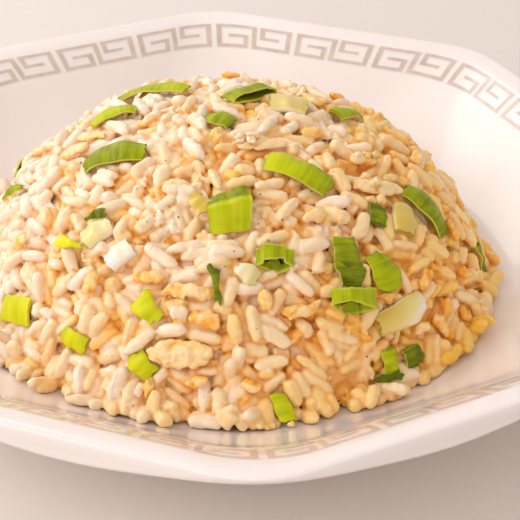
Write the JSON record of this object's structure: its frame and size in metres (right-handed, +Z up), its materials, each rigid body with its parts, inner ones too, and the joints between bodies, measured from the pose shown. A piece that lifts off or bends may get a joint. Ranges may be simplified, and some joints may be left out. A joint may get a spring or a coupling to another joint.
{
  "type": "fried rice plate",
  "caption": "Octagonal porcelain plate with a domed mound of fried rice, dotted with scallion, leek and scrambled egg.",
  "frame": {"origin": "middle of the foot ring, on the table", "axes": "+Z up; +X and +Y each face the middle of one flat side of the octagonal rim"},
  "size_m": [0.215, 0.215, 0.0575],
  "materials": {
    "porcelain": "clear glossy glaze over white porcelain",
    "cooked_rice": "moist cooked rice with a light coat of oil",
    "scallion_leaf": "wilted green leaf, ribbed and oily",
    "leek_stem": "pale wet stem, slightly translucent",
    "scrambled_egg": "soft fried egg, oily"
  },
  "bodies": {
    "root": {"plate": "porcelain", "rice_mound": "cooked_rice", "scallion_01": "scallion_leaf", "scallion_02": "scallion_leaf", "scallion_03": "scallion_leaf", "scallion_04": "scallion_leaf", "scallion_05": "scallion_leaf", "scallion_06": "scallion_leaf", "scallion_07": "scallion_leaf", "scallion_08": "scallion_leaf", "scallion_09": "scallion_leaf", "scallion_10": "scallion_leaf", "scallion_11": "scallion_leaf", "scallion_12": "scallion_leaf", "scallion_13": "scallion_leaf", "scallion_14": "scallion_leaf", "scallion_15": "scallion_leaf", "scallion_16": "scallion_leaf", "scallion_17": "scallion_leaf", "scallion_18": "scallion_leaf", "scallion_19": "scallion_leaf", "scallion_20": "scallion_leaf", "scallion_21": "scallion_leaf", "scallion_22": "scallion_leaf", "scallion_23": "scallion_leaf", "scallion_24": "scallion_leaf", "scallion_25": "scallion_leaf", "scallion_26": "scallion_leaf", "scallion_27": "scallion_leaf", "scallion_28": "scallion_leaf", "scallion_29": "scallion_leaf", "leek_01": "leek_stem", "leek_02": "leek_stem", "leek_03": "leek_stem", "leek_04": "leek_stem", "leek_05": "leek_stem", "leek_06": "leek_stem", "egg_01": "scrambled_egg", "egg_02": "scrambled_egg", "egg_03": "scrambled_egg", "egg_04": "scrambled_egg", "egg_05": "scrambled_egg", "egg_06": "scrambled_egg", "egg_07": "scrambled_egg", "egg_08": "scrambled_egg", "egg_09": "scrambled_egg", "egg_10": "scrambled_egg", "egg_11": "scrambled_egg", "egg_12": "scrambled_egg", "egg_13": "scrambled_egg", "egg_14": "scrambled_egg", "egg_15": "scrambled_egg", "egg_16": "scrambled_egg", "egg_17": "scrambled_egg", "egg_18": "scrambled_egg", "egg_19": "scrambled_egg", "egg_20": "scrambled_egg", "egg_21": "scrambled_egg"}
  },
  "joints": []
}
